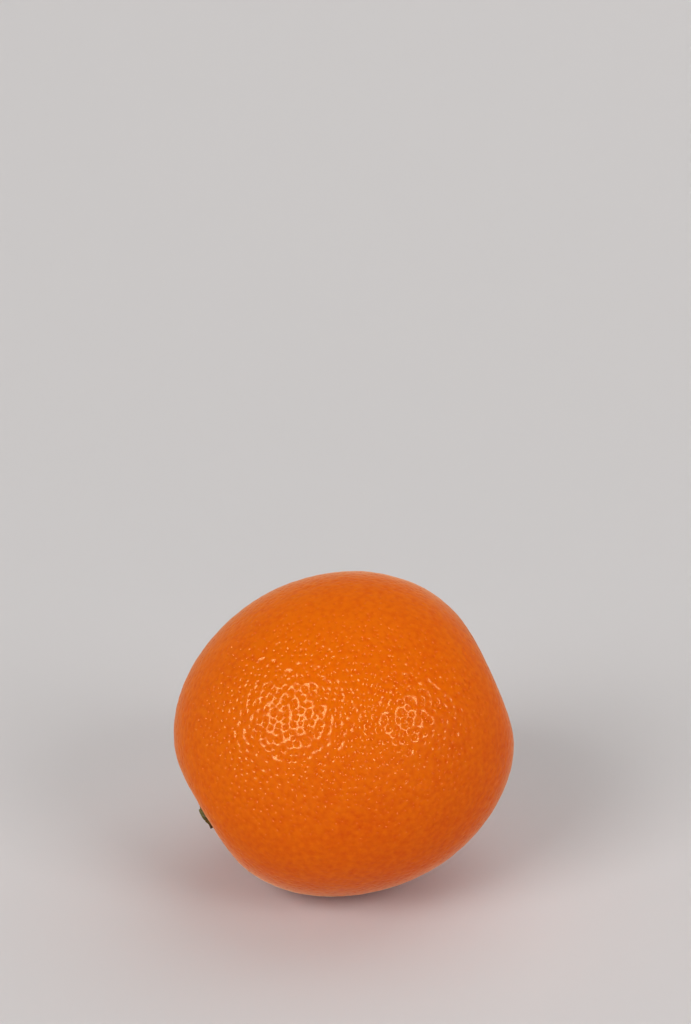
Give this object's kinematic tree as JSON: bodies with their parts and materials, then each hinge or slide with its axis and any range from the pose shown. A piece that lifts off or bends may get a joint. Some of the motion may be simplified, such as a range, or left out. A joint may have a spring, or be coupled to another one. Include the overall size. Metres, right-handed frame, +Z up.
{
  "type": "orange",
  "caption": "Fresh whole orange with its calyx and a cut stem stub, lying on its side on a small flat spot.",
  "frame": {"origin": "middle of the small flat spot on the underside that the fruit rests on", "axes": "+Z up; +X towards the blossom end as seen from above, so the stem end is at -X; +Y away from the side first looked at"},
  "size_m": [0.0789, 0.0749, 0.0736],
  "materials": {
    "rind": "waxy orange rind with small glossy oil-gland pits",
    "calyx": "dry olive green, brown at the edges",
    "stem": "cut green-brown stem end, matte"
  },
  "bodies": {
    "root": {"fruit": "rind", "calyx": "calyx", "stem_stub": "stem"}
  },
  "joints": []
}
